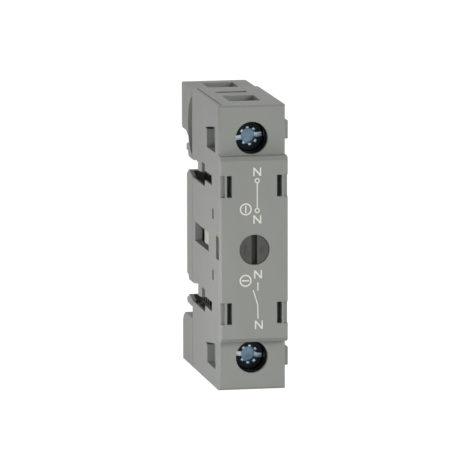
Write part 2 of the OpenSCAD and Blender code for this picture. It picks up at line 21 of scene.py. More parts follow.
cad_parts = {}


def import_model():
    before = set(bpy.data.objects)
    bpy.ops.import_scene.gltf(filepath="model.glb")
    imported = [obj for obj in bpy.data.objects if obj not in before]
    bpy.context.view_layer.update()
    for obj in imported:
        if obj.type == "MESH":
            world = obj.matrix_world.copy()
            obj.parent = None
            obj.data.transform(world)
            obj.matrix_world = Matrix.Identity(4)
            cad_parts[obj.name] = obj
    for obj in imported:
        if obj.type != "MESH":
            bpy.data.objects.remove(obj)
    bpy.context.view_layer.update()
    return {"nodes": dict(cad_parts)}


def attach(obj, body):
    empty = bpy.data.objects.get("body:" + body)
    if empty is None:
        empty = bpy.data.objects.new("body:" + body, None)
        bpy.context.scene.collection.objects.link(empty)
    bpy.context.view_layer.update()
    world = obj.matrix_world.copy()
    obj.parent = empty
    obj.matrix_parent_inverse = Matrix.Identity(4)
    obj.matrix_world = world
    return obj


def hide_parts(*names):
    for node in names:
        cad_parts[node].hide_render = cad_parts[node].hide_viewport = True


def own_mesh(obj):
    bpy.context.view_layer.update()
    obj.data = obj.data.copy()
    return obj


LOG = logging.getLogger("switch_pole")
MM = 0.001
IMAGE_SIDE = 470

Point = tuple[float, float]
Colour = tuple[float, float, float]


def linear(red: int, green: int, blue: int) -> Colour:
    """Turn a display colour of 0 to 255 into linear light.

    Args:
        red: Red as displayed.
        green: Green as displayed.
        blue: Blue as displayed.

    Returns:
        The three linear values.
    """
    def channel(value: int) -> float:
        """Return one linear channel."""
        share = value / 255
        return share / 12.92 if share <= 0.04045 else ((share + 0.055) / 1.055) ** 2.4

    return channel(red), channel(green), channel(blue)


class Body(Enum):
    """Moving bodies that the added pieces ride on."""

    HOUSING = "housing"
    ROTOR = "rotor"
    CARRIER = "carrier"


class End(Enum):
    """The two ends of the pole, each with its own terminal."""

    UPPER = "upper"
    LOWER = "lower"


class ShaderGraph:
    """A material and its node tree while it is being built."""

    def __init__(self, name: str) -> None:
        """Start an empty material.

        Args:
            name: Name of the material.
        """
        self.material = bpy.data.materials.new(name)
        self.material.use_nodes = True
        self.tree = self.material.node_tree
        self.tree.nodes.clear()

    def node(self, kind: str, **values: object) -> bpy.types.Node:
        """Add a node and set its inputs.

        Args:
            kind: Type of the node.
            values: Values of inputs, by input name with underscores for spaces.

        Returns:
            The new node.
        """
        made = self.tree.nodes.new(kind)
        for key, value in values.items():
            made.inputs[key.replace("_", " ")].default_value = value
        return made

    def link(self, source: bpy.types.NodeSocket, target: bpy.types.NodeSocket) -> None:
        """Join an output to an input."""
        self.tree.links.new(source, target)

    def finish(self, shader: bpy.types.NodeSocket) -> bpy.types.Material:
        """Connect the surface and hand the material over.

        Args:
            shader: Output of the last shader.

        Returns:
            The finished material.
        """
        output = self.node("ShaderNodeOutputMaterial")
        self.link(shader, output.inputs["Surface"])
        return self.material

    def noise(self, scale: float, detail: float, stretch: Colour = (1, 1, 1)) -> bpy.types.NodeSocket:
        """Add a noise pattern on Object coordinates.

        Args:
            scale: Cells to a metre.
            detail: Octaves of detail.
            stretch: Scale of the pattern along each axis.

        Returns:
            The noise value.
        """
        place = self.node("ShaderNodeTexCoord")
        mapping = self.node("ShaderNodeMapping", Scale=stretch)
        pattern = self.node("ShaderNodeTexNoise", Scale=scale, Detail=detail)
        self.link(place.outputs["Object"], mapping.inputs["Vector"])
        self.link(mapping.outputs["Vector"], pattern.inputs["Vector"])
        return pattern.outputs[0]

    def remap(self, value: bpy.types.NodeSocket, low: float, high: float) -> bpy.types.NodeSocket:
        """Spread a noise value over a range.

        Args:
            value: Noise value, mostly between 0.3 and 0.7.
            low: Result at 0.3.
            high: Result at 0.7.

        Returns:
            The spread value.
        """
        spread = self.node("ShaderNodeMapRange", From_Min=0.3, From_Max=0.7, To_Min=low, To_Max=high)
        self.link(value, spread.inputs["Value"])
        return spread.outputs["Result"]

    def shade(self, colour: Colour, value: bpy.types.NodeSocket) -> bpy.types.NodeSocket:
        """Multiply a colour by a value.

        Args:
            colour: Linear colour.
            value: Factor of brightness.

        Returns:
            The shaded colour.
        """
        product = self.node("ShaderNodeVectorMath")
        product.operation = "SCALE"
        product.inputs[0].default_value = colour
        self.link(value, product.inputs["Scale"])
        return product.outputs["Vector"]

    def add(self, first: bpy.types.NodeSocket, second: bpy.types.NodeSocket) -> bpy.types.NodeSocket:
        """Return the sum of two values."""
        total = self.node("ShaderNodeMath")
        total.operation = "ADD"
        self.link(first, total.inputs[0])
        self.link(second, total.inputs[1])
        return total.outputs[0]

    def bump(self, height: bpy.types.NodeSocket, depth: float, strength: float) -> bpy.types.NodeSocket:
        """Add a bump.

        Args:
            height: Height pattern.
            depth: Depth of the relief in metres.
            strength: Strength between 0 and 1.

        Returns:
            The bumped normal.
        """
        relief = self.node("ShaderNodeBump", Strength=strength, Distance=depth)
        self.link(height, relief.inputs["Height"])
        return relief.outputs["Normal"]


@dataclass(frozen=True)
class MouldedPlastic:
    """Injection-moulded plastic with the fine grain of an eroded mould."""

    name: str
    colour: Colour
    roughness: float = 0.52
    specular: float = 0.42
    grain_size: float = 0.22 * MM
    grain_depth: float = 0.012 * MM
    mottle: float = 0.025

    def material(self) -> bpy.types.Material:
        """Return the material, built at its first use."""
        if self.name in bpy.data.materials:
            return bpy.data.materials[self.name]
        graph = ShaderGraph(self.name)
        shader = graph.node("ShaderNodeBsdfPrincipled")
        shader.inputs["Specular IOR Level"].default_value = self.specular
        flow = graph.noise(95, 2, (1, 1, 0.45))
        grain = graph.noise(1 / self.grain_size, 3)
        tone = graph.add(
            graph.remap(flow, 0.5 - self.mottle, 0.5 + self.mottle),
            graph.remap(grain, 0.5 - self.mottle / 2, 0.5 + self.mottle / 2),
        )
        graph.link(graph.shade(self.colour, tone), shader.inputs["Base Color"])
        rough = graph.remap(grain, self.roughness - 0.06, self.roughness + 0.06)
        graph.link(rough, shader.inputs["Roughness"])
        graph.link(graph.bump(grain, self.grain_depth, 0.5), shader.inputs["Normal"])
        return graph.finish(shader.outputs["BSDF"])


@dataclass(frozen=True)
class PlatedMetal:
    """Metal with a thin plating whose tint drifts a little over the surface."""

    name: str
    colour: Colour
    tint: Colour
    roughness: float = 0.28
    grain_size: float = 0.12 * MM
    grain_depth: float = 0.004 * MM
    drawn: Colour = (1, 1, 1)

    def material(self) -> bpy.types.Material:
        """Return the material, built at its first use."""
        if self.name in bpy.data.materials:
            return bpy.data.materials[self.name]
        graph = ShaderGraph(self.name)
        shader = graph.node("ShaderNodeBsdfPrincipled", Metallic=1.0)
        cloud = graph.noise(420, 3)
        grain = graph.noise(1 / self.grain_size, 4, self.drawn)
        mix = graph.node("ShaderNodeMix")
        mix.data_type = "RGBA"
        mix.inputs[6].default_value = (*self.colour, 1)
        mix.inputs[7].default_value = (*self.tint, 1)
        graph.link(graph.remap(cloud, 0, 1), mix.inputs[0])
        graph.link(mix.outputs[2], shader.inputs["Base Color"])
        rough = graph.remap(grain, self.roughness - 0.08, self.roughness + 0.1)
        graph.link(rough, shader.inputs["Roughness"])
        graph.link(graph.bump(grain, self.grain_depth, 0.4), shader.inputs["Normal"])
        return graph.finish(shader.outputs["BSDF"])


@dataclass(frozen=True)
class PrintInk:
    """Pad-printed ink, slightly uneven where it is thin."""

    name: str
    colour: Colour
    roughness: float = 0.45

    def material(self) -> bpy.types.Material:
        """Return the material, built at its first use."""
        if self.name in bpy.data.materials:
            return bpy.data.materials[self.name]
        graph = ShaderGraph(self.name)
        shader = graph.node("ShaderNodeBsdfPrincipled")
        shader.inputs["Specular IOR Level"].default_value = 0.35
        cover = graph.noise(2600, 2)
        graph.link(graph.shade(self.colour, graph.remap(cover, 0.9, 1.05)), shader.inputs["Base Color"])
        rough = graph.remap(cover, self.roughness - 0.05, self.roughness + 0.08)
        graph.link(rough, shader.inputs["Roughness"])
        return graph.finish(shader.outputs["BSDF"])


@dataclass(frozen=True)
class Backdrop:
    """Pale floor that shows white to the camera and keeps the object's shadow."""

    name: str = "pale_floor"
    colour: Colour = (0.82, 0.82, 0.81)
    white: float = 1.12
    cover: float = 0.92

    def material(self) -> bpy.types.Material:
        """Return the material, built at its first use."""
        graph = ShaderGraph(self.name)
        floor = graph.node("ShaderNodeBsdfDiffuse", Color=(*self.colour, 1))
        paper = graph.node("ShaderNodeEmission", Color=(1, 1, 1, 1), Strength=self.white)
        seen = graph.node("ShaderNodeMath")
        seen.operation = "MULTIPLY"
        seen.inputs[1].default_value = self.cover
        graph.link(direct_rays(graph), seen.inputs[0])
        mix = graph.node("ShaderNodeMixShader")
        graph.link(seen.outputs[0], mix.inputs[0])
        graph.link(floor.outputs[0], mix.inputs[1])
        graph.link(paper.outputs[0], mix.inputs[2])
        return graph.finish(mix.outputs[0])


def direct_rays(graph: ShaderGraph | WorldGraph) -> bpy.types.NodeSocket:
    """Tell the rays that should see a white background.

    Args:
        graph: Graph of the floor or the world.

    Returns:
        1 for camera, glossy and transmission rays, otherwise 0.
    """
    path = graph.node("ShaderNodeLightPath")
    value = path.outputs["Is Camera Ray"]
    for name in ("Is Glossy Ray", "Is Transmission Ray"):
        most = graph.node("ShaderNodeMath")
        most.operation = "MAXIMUM"
        graph.link(value, most.inputs[0])
        graph.link(path.outputs[name], most.inputs[1])
        value = most.outputs[0]
    return value


class WorldGraph(ShaderGraph):
    """The node tree of the world."""

    def __init__(self, name: str) -> None:
        """Start an empty world and make it the scene's.

        Args:
            name: Name of the world.
        """
        self.world = bpy.data.worlds.new(name)
        self.world.use_nodes = True
        self.tree = self.world.node_tree
        self.tree.nodes.clear()
        bpy.context.scene.world = self.world


HOUSING_GREY = MouldedPlastic("moulded_grey_front", linear(146, 148, 143))
COVER_GREY = MouldedPlastic("moulded_grey_cover", linear(139, 140, 136), roughness=0.5)
BASE_GREY = MouldedPlastic("moulded_grey_base", linear(145, 146, 142), roughness=0.55)
CLIP_GREY = MouldedPlastic("moulded_grey_clip", linear(122, 124, 121), roughness=0.5)
ROTOR_DARK = MouldedPlastic("moulded_dark_rotor", linear(68, 68, 66), roughness=0.42, specular=0.5)
CARRIER_CREAM = MouldedPlastic("moulded_cream_carrier", linear(178, 176, 160), roughness=0.48)
RETAINER_PALE = MouldedPlastic("moulded_pale_retainer", linear(196, 194, 186), roughness=0.5)
CHUTE_FIBRE = MouldedPlastic("pressed_fibre_chute", linear(70, 62, 52), roughness=0.8, mottle=0.12)
SCREW_BODY = PlatedMetal("zinc_screw_body", linear(178, 186, 192), linear(150, 170, 186), roughness=0.26)
# Painted shade: near-black colour for the screw head's flat face, standing for the dark it shows deep in its hole.
SCREW_FACE_PAINTED_SHADE = PlatedMetal("screw_face_painted_shade", linear(30, 35, 38), linear(20, 25, 29), roughness=0.34)
RECESS_BLUE = PlatedMetal("zinc_screw_recess", linear(112, 134, 147), linear(84, 108, 124), roughness=0.3)
# Painted shade: near-black colour for the terminal frames, standing for the shade deep in the screw bores where they
# show.
FRAME_PAINTED_SHADE = PlatedMetal("terminal_frame_painted_shade", linear(44, 46, 46), linear(32, 34, 35), roughness=0.45)
TERMINAL_ZINC = PlatedMetal(
    "zinc_terminal_steel", linear(176, 179, 183), linear(160, 166, 172), roughness=0.36,
)
BARE_COPPER = PlatedMetal("bare_copper", linear(201, 132, 94), linear(184, 112, 78), roughness=0.3)
CONTACT_SILVER = PlatedMetal("contact_silver", linear(214, 214, 212), linear(200, 199, 194), roughness=0.24)
SPRING_WIRE = PlatedMetal("spring_wire", linear(172, 174, 178), linear(156, 158, 162), roughness=0.25)
PIN_STEEL = PlatedMetal("ground_pin_steel", linear(170, 172, 175), linear(160, 162, 165), roughness=0.2)
ARC_STEEL = PlatedMetal("arc_plate_steel", linear(62, 62, 63), linear(52, 52, 54), roughness=0.42)
MARK_WHITE = PrintInk("printed_marks", linear(232, 231, 222))


class Shapes:
    """Mesh builders shared by the sub-assemblies."""

    @staticmethod
    def made(name: str, mesh: bmesh.types.BMesh, finish: bpy.types.Material) -> bpy.types.Object:
        """Turn a working mesh into an object of the scene.

        Args:
            name: Name of the piece.
            mesh: Working mesh, freed here.
            finish: Its material.

        Returns:
            The object, at the origin.
        """
        bmesh.ops.recalc_face_normals(mesh, faces=mesh.faces)
        data = bpy.data.meshes.new(name)
        mesh.to_mesh(data)
        mesh.free()
        data.materials.append(finish)
        piece = bpy.data.objects.new(name, data)
        bpy.context.scene.collection.objects.link(piece)
        return piece

    @staticmethod
    def prism(mesh: bmesh.types.BMesh, outline: Sequence[Point], place: Matrix, height: float) -> None:
        """Add a prism on a flat outline.

        Args:
            mesh: Working mesh to add to.
            outline: Points in the plane, in order.
            place: Turns the plane and its normal into the frame of the part.
            height: Height along the plane's normal.
        """
        low = [mesh.verts.new(place @ Vector((u, v, 0))) for u, v in outline]
        high = [mesh.verts.new(place @ Vector((u, v, height))) for u, v in outline]
        mesh.faces.new(low[::-1])
        mesh.faces.new(high)
        for index in range(len(outline)):
            after = (index + 1) % len(outline)
            mesh.faces.new((low[index], low[after], high[after], high[index]))

    @staticmethod
    def ring(mesh: bmesh.types.BMesh, centre: Point, outer: float, inner: float,
             place: Matrix, height: float, steps: int = 48) -> None:
        """Add a flat ring.

        Args:
            mesh: Working mesh to add to.
            centre: Centre in the plane.
            outer: Outer radius.
            inner: Inner radius.
            place: Turns the plane and its normal into the frame of the part.
            height: Height along the plane's normal.
            steps: Sides of the ring.
        """
        loops = []
        for radius, level in ((outer, 0), (outer, height), (inner, height), (inner, 0)):
            loop = []
            for step in range(steps):
                angle = 2 * math.pi * step / steps
                spot = (centre[0] + radius * math.cos(angle), centre[1] + radius * math.sin(angle), level)
                loop.append(mesh.verts.new(place @ Vector(spot)))
            loops.append(loop)
        for index, loop in enumerate(loops):
            following = loops[(index + 1) % len(loops)]
            for step in range(steps):
                after = (step + 1) % steps
                mesh.faces.new((loop[step], loop[after], following[after], following[step]))

    @staticmethod
    def lathe(mesh: bmesh.types.BMesh, profile: Sequence[Point], place: Matrix, steps: int = 64) -> None:
        """Add a turned solid.

        Args:
            mesh: Working mesh to add to.
            profile: Radius and height of each ring, from one end to the other.
            place: Turns the axis into the frame of the part.
            steps: Sides of the solid.
        """
        rings = []
        for radius, level in profile:
            ring = []
            for step in range(steps):
                angle = 2 * math.pi * step / steps
                spot = (radius * math.cos(angle), radius * math.sin(angle), level)
                ring.append(mesh.verts.new(place @ Vector(spot)))
            rings.append(ring)
        for first, second in zip(rings, rings[1:]):
            for step in range(steps):
                after = (step + 1) % steps
                mesh.faces.new((first[step], first[after], second[after], second[step]))
        mesh.faces.new(rings[0][::-1])
        mesh.faces.new(rings[-1])


class WoundWire:
    """A wire wound round an axis, made by geometry nodes: a spring, or the ridge of a thread."""

    def __init__(self) -> None:
        """Build the node tree with its named inputs."""
        self.tree = bpy.data.node_groups.new("wound_wire", "GeometryNodeTree")
        face = self.tree.interface
        kinds = {
            "Turns": "NodeSocketFloat", "Radius": "NodeSocketFloat", "Length": "NodeSocketFloat",
            "Wire": "NodeSocketFloat", "Sides": "NodeSocketInt", "Finish": "NodeSocketMaterial",
        }
        self.sockets = {n: face.new_socket(name=n, in_out="INPUT", socket_type=k) for n, k in kinds.items()}
        face.new_socket(name="Geometry", in_out="OUTPUT", socket_type="NodeSocketGeometry")
        nodes, links = self.tree.nodes, self.tree.links
        given = nodes.new("NodeGroupInput")
        coil = nodes.new("GeometryNodeCurveSpiral")
        coil.inputs["Resolution"].default_value = 28
        section = nodes.new("GeometryNodeCurvePrimitiveCircle")
        sweep = nodes.new("GeometryNodeCurveToMesh")
        sweep.inputs["Fill Caps"].default_value = True
        finish = nodes.new("GeometryNodeSetMaterial")
        real = nodes.new("GeometryNodeRealizeInstances")
        out = nodes.new("NodeGroupOutput")
        links.new(given.outputs["Turns"], coil.inputs["Rotations"])
        links.new(given.outputs["Radius"], coil.inputs["Start Radius"])
        links.new(given.outputs["Radius"], coil.inputs["End Radius"])
        links.new(given.outputs["Length"], coil.inputs["Height"])
        links.new(given.outputs["Sides"], section.inputs["Resolution"])
        links.new(given.outputs["Wire"], section.inputs["Radius"])
        links.new(coil.outputs["Curve"], sweep.inputs["Curve"])
        links.new(section.outputs["Curve"], sweep.inputs["Profile Curve"])
        links.new(sweep.outputs["Mesh"], real.inputs["Geometry"])
        links.new(real.outputs["Geometry"], finish.inputs["Geometry"])
        links.new(given.outputs["Finish"], finish.inputs["Material"])
        links.new(finish.outputs["Geometry"], out.inputs["Geometry"])

    def wind(self, name: str, place: Matrix, values: dict[str, object]) -> bpy.types.Object:
        """Wind one wire and turn the result into a plain mesh.

        Args:
            name: Name of the piece.
            place: Turns the winding axis, +Z, into the frame of the part.
            values: Value of each named input.

        Returns:
            The piece, with its place in its mesh.
        """
        carrier = bpy.data.objects.new(name + "_carrier", bpy.data.meshes.new(name + "_carrier"))
        bpy.context.scene.collection.objects.link(carrier)
        modifier = carrier.modifiers.new("winding", "NODES")
        modifier.node_group = self.tree
        for key, value in values.items():
            modifier[self.sockets[key].identifier] = value
        graph = bpy.context.evaluated_depsgraph_get()
        mesh = bpy.data.meshes.new_from_object(carrier.evaluated_get(graph))
        mesh.name = name
        mesh.transform(place)
        bpy.data.objects.remove(carrier)
        piece = bpy.data.objects.new(name, mesh)
        bpy.context.scene.collection.objects.link(piece)
        mesh.shade_smooth()
        return piece


@dataclass
class Nose:
    """The printed circuit marks on the nose's front face."""

    face_y: float = -27.3 * MM
    left_x: float = -8.75 * MM
    ink: float = 0.02 * MM
    stroke: float = 0.36 * MM
    letter: Point = (2.08 * MM, 2.2 * MM)
    letters: tuple[Point, ...] = ((8.43, 56.15), (8.43, 43.8), (8.6, 29.52), (8.82, 16.38))
    rings: tuple[Point, ...] = ((9.47, 54.95), (9.47, 47.2))
    ring_r: float = 0.68 * MM
    switch_marks: tuple[tuple[float, float, bool], ...] = ((6.46, 47.6, True), (6.38, 29.05, False))
    mark_r: float = 1.58 * MM
    bar: float = 1.9 * MM
    thin: float = 0.3 * MM
    tail: tuple[Point, Point] = ((9.62, 28.55), (9.62, 26.4))
    blade: tuple[Point, ...] = ((8.38, 26.6), (9.56, 22.75), (9.64, 19.1))

    def plane(self) -> Matrix:
        """Return the placing of the print's plane, measured from the left edge and the lower end."""
        axes = Matrix(((1, 0, 0), (0, 0, -1), (0, 1, 0))).to_4x4()
        return Matrix.Translation((self.left_x, self.face_y, 0)) @ axes

    def letter_outline(self, corner: Point) -> list[Point]:
        """Outline of a capital N.

        Args:
            corner: Lower left corner.

        Returns:
            Points of the outline.
        """
        x, z = corner
        wide, high = self.letter
        pen = self.stroke
        run = pen * 1.75
        spots = (
            (0, 0), (pen, 0), (pen, high - run), (wide - pen, 0), (wide, 0), (wide, high),
            (wide - pen, high), (wide - pen, run), (pen, high), (0, high),
        )
        return [(x + u, z + v) for u, v in spots]

    def line_outline(self, start: Point, end: Point, wide: float) -> list[Point]:
        """Outline of a straight stroke.

        Args:
            start: First end of its centre line.
            end: Second end.
            wide: Width of the stroke.

        Returns:
            Its four corners.
        """
        run = Vector(end) - Vector(start)
        side = Vector((-run.y, run.x)).normalized() * wide / 2
        corners = (Vector(start) - side, Vector(end) - side, Vector(end) + side, Vector(start) + side)
        return [(corner.x, corner.y) for corner in corners]

    def build(self) -> bpy.types.Object:
        """Build all marks as one thin print.

        Returns:
            The print, riding on the housing.
        """
        mesh = bmesh.new()
        place = self.plane()
        for x, z in self.letters:
            Shapes.prism(mesh, self.letter_outline((x * MM, z * MM)), place, self.ink)
        for x, z in self.rings:
            inner = self.ring_r - self.stroke * 0.85
            Shapes.ring(mesh, (x * MM, z * MM), self.ring_r, inner, place, self.ink, 32)
        (top_x, top_z), (_, low_z) = self.rings
        gap = self.ring_r / MM
        strokes = [((top_x, top_z - gap), (top_x, low_z + gap)), self.tail]
        for (u, v), (s, t) in strokes:
            outline = self.line_outline((u * MM, v * MM), (s * MM, t * MM), self.thin)
            Shapes.prism(mesh, outline, place, self.ink)
        Shapes.prism(mesh, self.blade_outline(), place, self.ink)
        for x, z, upright in self.switch_marks:
            centre = (x * MM, z * MM)
            Shapes.ring(mesh, centre, self.mark_r, self.mark_r - self.stroke, place, self.ink, 48)
            reach = (0, self.bar / 2) if upright else (self.bar / 2, 0)
            ends = [(centre[0] + sign * reach[0], centre[1] + sign * reach[1]) for sign in (-1, 1)]
            Shapes.prism(mesh, self.line_outline(*ends, self.stroke), place, self.ink)
        piece = Shapes.made("nose_circuit_marks", mesh, MARK_WHITE.material())
        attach(piece, Body.HOUSING.value)
        return piece

    def blade_outline(self) -> list[Point]:
        """Return the outline of the open blade and its lead, one bent stroke."""
        path = [Vector((x * MM, z * MM)) for x, z in self.blade]
        half = self.thin / 2
        sides = []
        for index, spot in enumerate(path):
            before = path[max(index - 1, 0)]
            after = path[min(index + 1, len(path) - 1)]
            run = (after - before).normalized()
            sides.append((spot, Vector((-run.y, run.x)) * half))
        right = [(spot.x - side.x, spot.y - side.y) for spot, side in sides]
        left = [(spot.x + side.x, spot.y + side.y) for spot, side in reversed(sides)]
        return right + left


@dataclass
class TerminalScrew:
    """A headless terminal screw with a slot, a round recess with lobes on its rim, and a thread."""

    end: End
    axis_z: float
    turned: float
    front_y: float = (4.3 - 23.8) * MM
    radius: float = 3.95 * MM
    length: float = 9 * MM
    chamfer: float = 0.35 * MM
    slot: Point = (1.15 * MM, 1.5 * MM)
    recess_r: float = 2.05 * MM
    recess_depth: float = 1.6 * MM
    floor_r: float = 1.75 * MM
    rib: Point = (0.7 * MM, 0.45 * MM)
    thread_depth: float = 0.42 * MM
    pitch: float = 1.25 * MM
    neck: Point = (1.6 * MM, 1 * MM)
    head: float = 1.3 * MM
    thread_start: float = 1.8 * MM
    plain_length: float = 2.6 * MM
    cone_flare: float = 1.1
    lobe_reach: float = 1.2

    def place(self) -> Matrix:
        """Return the placing of the screw's own axes: +Z into the pole and +X along the slot."""
        axes = Matrix(((1, 0, 0), (0, 0, 1), (0, -1, 0))).to_4x4()
        turn = Matrix.Rotation(math.radians(self.turned), 4, "Z")
        return Matrix.Translation((0, self.front_y, self.axis_z)) @ axes @ turn

    def cutter(self, name: str, build: Callable[[bmesh.types.BMesh], None],
               finish: bpy.types.Material) -> bpy.types.Object:
        """Make a cutting shape.

        Args:
            name: Name of the shape.
            build: Adds the shape to a working mesh, in the screw's own axes.
            finish: Material left on the cut faces.

        Returns:
            The cutting object.
        """
        mesh = bmesh.new()
        build(mesh)
        return Shapes.made(name, mesh, finish)

    def body_profile(self) -> list[Point]:
        """Return radius and height of the turned body, from the head's face to the neck's end."""
        root = self.radius - self.thread_depth
        return [
            (self.radius - self.chamfer, 0), (self.radius, self.chamfer), (self.radius, self.head),
            (root, self.head + self.thread_depth), (root, self.length - self.thread_depth),
            (root - self.thread_depth, self.length), (self.neck[0], self.length),
            (self.neck[0], self.length + self.neck[1]),
        ]

    def build(self, winder: WoundWire) -> list[bpy.types.Object]:
        """Build the screw in place of its plain solid.

        Args:
            winder: Makes the ridge of the thread.

        Returns:
            The screw and its thread.
        """
        names = f"{self.end.value}_terminal_screw"
        mesh = bmesh.new()
        Shapes.lathe(mesh, self.body_profile(), Matrix.Identity(4), 96)
        screw = Shapes.made(names + "_threaded", mesh, SCREW_BODY.material())
        half = self.slot[0] / 2
        past = 2 * self.radius
        bar = [(-past, -half), (past, -half), (past, half), (-past, half)]
        above = Matrix.Translation((0, 0, -MM))
        cone = [
            (self.recess_r * self.cone_flare, -MM), (self.recess_r, 0),
            (self.floor_r, self.recess_depth),
        ]
        cutters = [
            self.cutter(
                "slot_cutter", lambda m: Shapes.prism(m, bar, above, MM + self.slot[1]),
                SCREW_BODY.material(),
            ),
            self.cutter(
                "cone_cutter", lambda m: Shapes.lathe(m, cone, Matrix.Identity(4), 48),
                RECESS_BLUE.material(),
            ),
        ]
        for step in range(4):
            cutters.append(self.cutter(f"rib_cutter_{step}", self.wing(step), SCREW_BODY.material()))
        self.cut(screw, cutters)
        self.paint_face_shade(screw)
        screw.data.transform(self.place())
        turns = (self.length - self.plain_length) / self.pitch
        ridge = self.thread_depth * 0.9
        values = {
            "Turns": turns, "Radius": self.radius - ridge, "Length": turns * self.pitch,
            "Wire": ridge, "Sides": 6, "Finish": SCREW_BODY.material(),
        }
        thread = winder.wind(names + "_thread", self.place() @ Matrix.Translation((0, 0, self.thread_start)), values)
        for piece in (screw, thread):
            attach(piece, f"{self.end.value}_screw")
        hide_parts(names)
        return [screw, thread]

    def wing(self, step: int) -> Callable[[bmesh.types.BMesh], None]:
        """Give the builder of one pair of opposite lobes on the rim of the recess.

        Args:
            step: Number of the pair, an eighth of a turn apart.

        Returns:
            A function that adds the pair to a working mesh.
        """
        wide, depth = self.rib
        reach = self.recess_r * self.lobe_reach
        turn = Matrix.Rotation(step * math.pi / 4, 4, "Z") @ Matrix.Translation((0, 0, -MM))
        box = [(-reach, -wide / 2), (reach, -wide / 2), (reach, wide / 2), (-reach, wide / 2)]
        return lambda mesh: Shapes.prism(mesh, box, turn, depth + MM)

    def cut(self, piece: bpy.types.Object, cutters: Iterable[bpy.types.Object]) -> None:
        """Take cutting shapes out of a piece and keep the result as its mesh.

        Args:
            piece: Piece to cut.
            cutters: Cutting shapes, removed here.
        """
        cutters = list(cutters)
        for cutter in cutters:
            modifier = piece.modifiers.new(cutter.name, "BOOLEAN")
            modifier.operation = "DIFFERENCE"
            modifier.solver = "EXACT"
            modifier.material_mode = "TRANSFER"
            modifier.object = cutter
        bpy.context.view_layer.update()
        graph = bpy.context.evaluated_depsgraph_get()
        mesh = bpy.data.meshes.new_from_object(piece.evaluated_get(graph))
        piece.modifiers.clear()
        piece.data = mesh
        for cutter in cutters:
            bpy.data.objects.remove(cutter)

    def paint_face_shade(self, piece: bpy.types.Object) -> None:
        """Give the flat face of the head a near-black colour, painted shade that stands for the dark the face shows
        in its hole.

        Args:
            piece: The cut screw, still in its own axes.
        """
        slots = piece.data.materials
        slots.append(SCREW_FACE_PAINTED_SHADE.material())
        for face in piece.data.polygons:
            if face.normal.z < -0.95 and abs(face.center.z) < 0.01 * MM:
                face.material_index = len(slots) - 1


@dataclass
class PositionRotor:
    """The dark position rotor with its raised words."""

    face_y: float = -26.9 * MM
    axis_z: float = 37 * MM
    rise: float = 0.08 * MM
    pen: float = 0.16 * MM
    letter: Point = (0.72 * MM, 0.95 * MM)
    column: float = 2.05 * MM

    GLYPHS = {
        "O": (((0, 0), (1, 0)), ((1, 0), (1, 1)), ((1, 1), (0, 1)), ((0, 1), (0, 0))),
        "N": (((0, 0), (0, 1)), ((0, 1), (1, 0)), ((1, 0), (1, 1))),
        "F": (((0, 0), (0, 1)), ((0, 1), (1, 1)), ((0, 0.52), (0.8, 0.52))),
    }

    def word(self, mesh: bmesh.types.BMesh, text: str, side: float) -> None:
        """Add a word that reads upwards beside the slot.

        Args:
            mesh: Working mesh to add to.
            text: The word.
            side: -1 on the left, 1 on the right.
        """
        wide, high = self.letter
        step = wide * 1.45
        start = -step * (len(text) - 1) / 2
        for index, glyph in enumerate(text):
            for first, second in self.GLYPHS[glyph]:
                ends = []
                for u, v in (first, second):
                    along = start + index * step + (u - 0.5) * wide
                    across = side * self.column - (v - 0.5) * high
                    ends.append(Vector((across, along)))
                run = (ends[1] - ends[0]).normalized() * self.pen / 2
                normal = Vector((-run.y, run.x))
                low, top = ends[0] - run, ends[1] + run
                outline = [low - normal, top - normal, top + normal, low + normal]
                Shapes.prism(mesh, [(p.x, p.y) for p in outline], self.plane(), self.rise)

    def plane(self) -> Matrix:
        """Return the placing of the rotor's face, measured from its axis."""
        axes = Matrix(((1, 0, 0), (0, 0, -1), (0, 1, 0))).to_4x4()
        return Matrix.Translation((0, self.face_y, self.axis_z)) @ axes

    def build(self) -> bpy.types.Object:
        """Build the words ON and OFF.

        Returns:
            The words, riding on the rotor.
        """
        mesh = bmesh.new()
        self.word(mesh, "OFF", -1)
        self.word(mesh, "ON", 1)
        piece = Shapes.made("rotor_raised_words", mesh, ROTOR_DARK.material())
        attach(piece, Body.ROTOR.value)
        return piece


@dataclass
class Spring:
    """A wound compression spring that stands for its plain solid."""

    node: str
    body: Body
    base: Vector
    along: str
    radius: float
    length: float
    turns: float
    wire: float = 0.25 * MM
    pressed_by: str = ""
    kept: float = 0.5

    def build(self, winder: WoundWire) -> bpy.types.Object:
        """Build the spring in place of its solid.

        Args:
            winder: Makes the winding.

        Returns:
            The spring, riding on its body.
        """
        axes = Matrix.Rotation(-math.pi / 2, 4, "X") if self.along == "Y" else Matrix.Identity(4)
        place = Matrix.Translation(self.base) @ axes @ Matrix.Translation((0, 0, self.wire))
        values = {
            "Turns": self.turns, "Radius": self.radius, "Length": self.length - 2 * self.wire,
            "Wire": self.wire, "Sides": 12, "Finish": SPRING_WIRE.material(),
        }
        piece = winder.wind(self.node + "_wound", place, values)
        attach(piece, self.body.value)
        if self.pressed_by:
            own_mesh(piece)
        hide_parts(self.node)
        return piece


